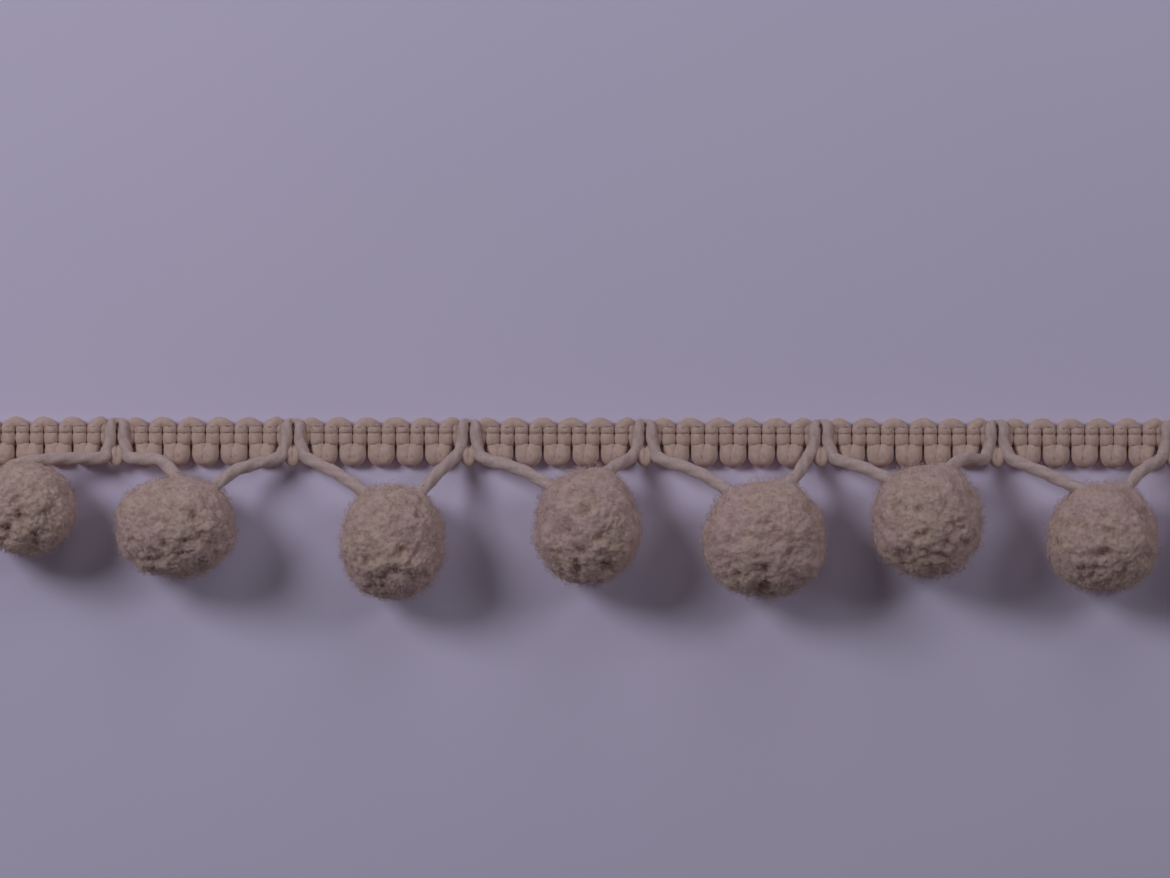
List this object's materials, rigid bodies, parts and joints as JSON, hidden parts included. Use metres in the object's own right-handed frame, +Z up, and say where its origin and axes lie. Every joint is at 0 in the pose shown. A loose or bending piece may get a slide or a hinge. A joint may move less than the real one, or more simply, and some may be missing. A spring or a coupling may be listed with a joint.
{
  "type": "pompom fringe trim",
  "caption": "Straight length of pompom fringe trim: a ribbed woven heading with a carrier cord that loops down from it through a row of cut-yarn pompoms.",
  "frame": {"origin": "middle of the flat back of the heading, at the middle of the trim's length, on the surface the trim lies on", "axes": "+X along the trim, +Y from the pompoms to the heading across the trim, +Z up from the back of the heading to its front face"},
  "size_m": [0.2044, 0.0246, 0.0155],
  "materials": {
    "heading_yarn": "matt soft cotton yarn, natural beige",
    "carrier_yarn": "matt smooth cotton cord, paler beige",
    "pompom_yarn": "matt fuzzy cut cotton yarn, natural beige"
  },
  "bodies": {
    "root": {"heading_braid": "heading_yarn", "carrier_cord": "carrier_yarn", "pompom_1": "pompom_yarn", "pompom_2": "pompom_yarn", "pompom_3": "pompom_yarn", "pompom_4": "pompom_yarn", "pompom_5": "pompom_yarn", "pompom_6": "pompom_yarn", "pompom_7": "pompom_yarn", "pompom_8": "pompom_yarn"}
  },
  "joints": []
}
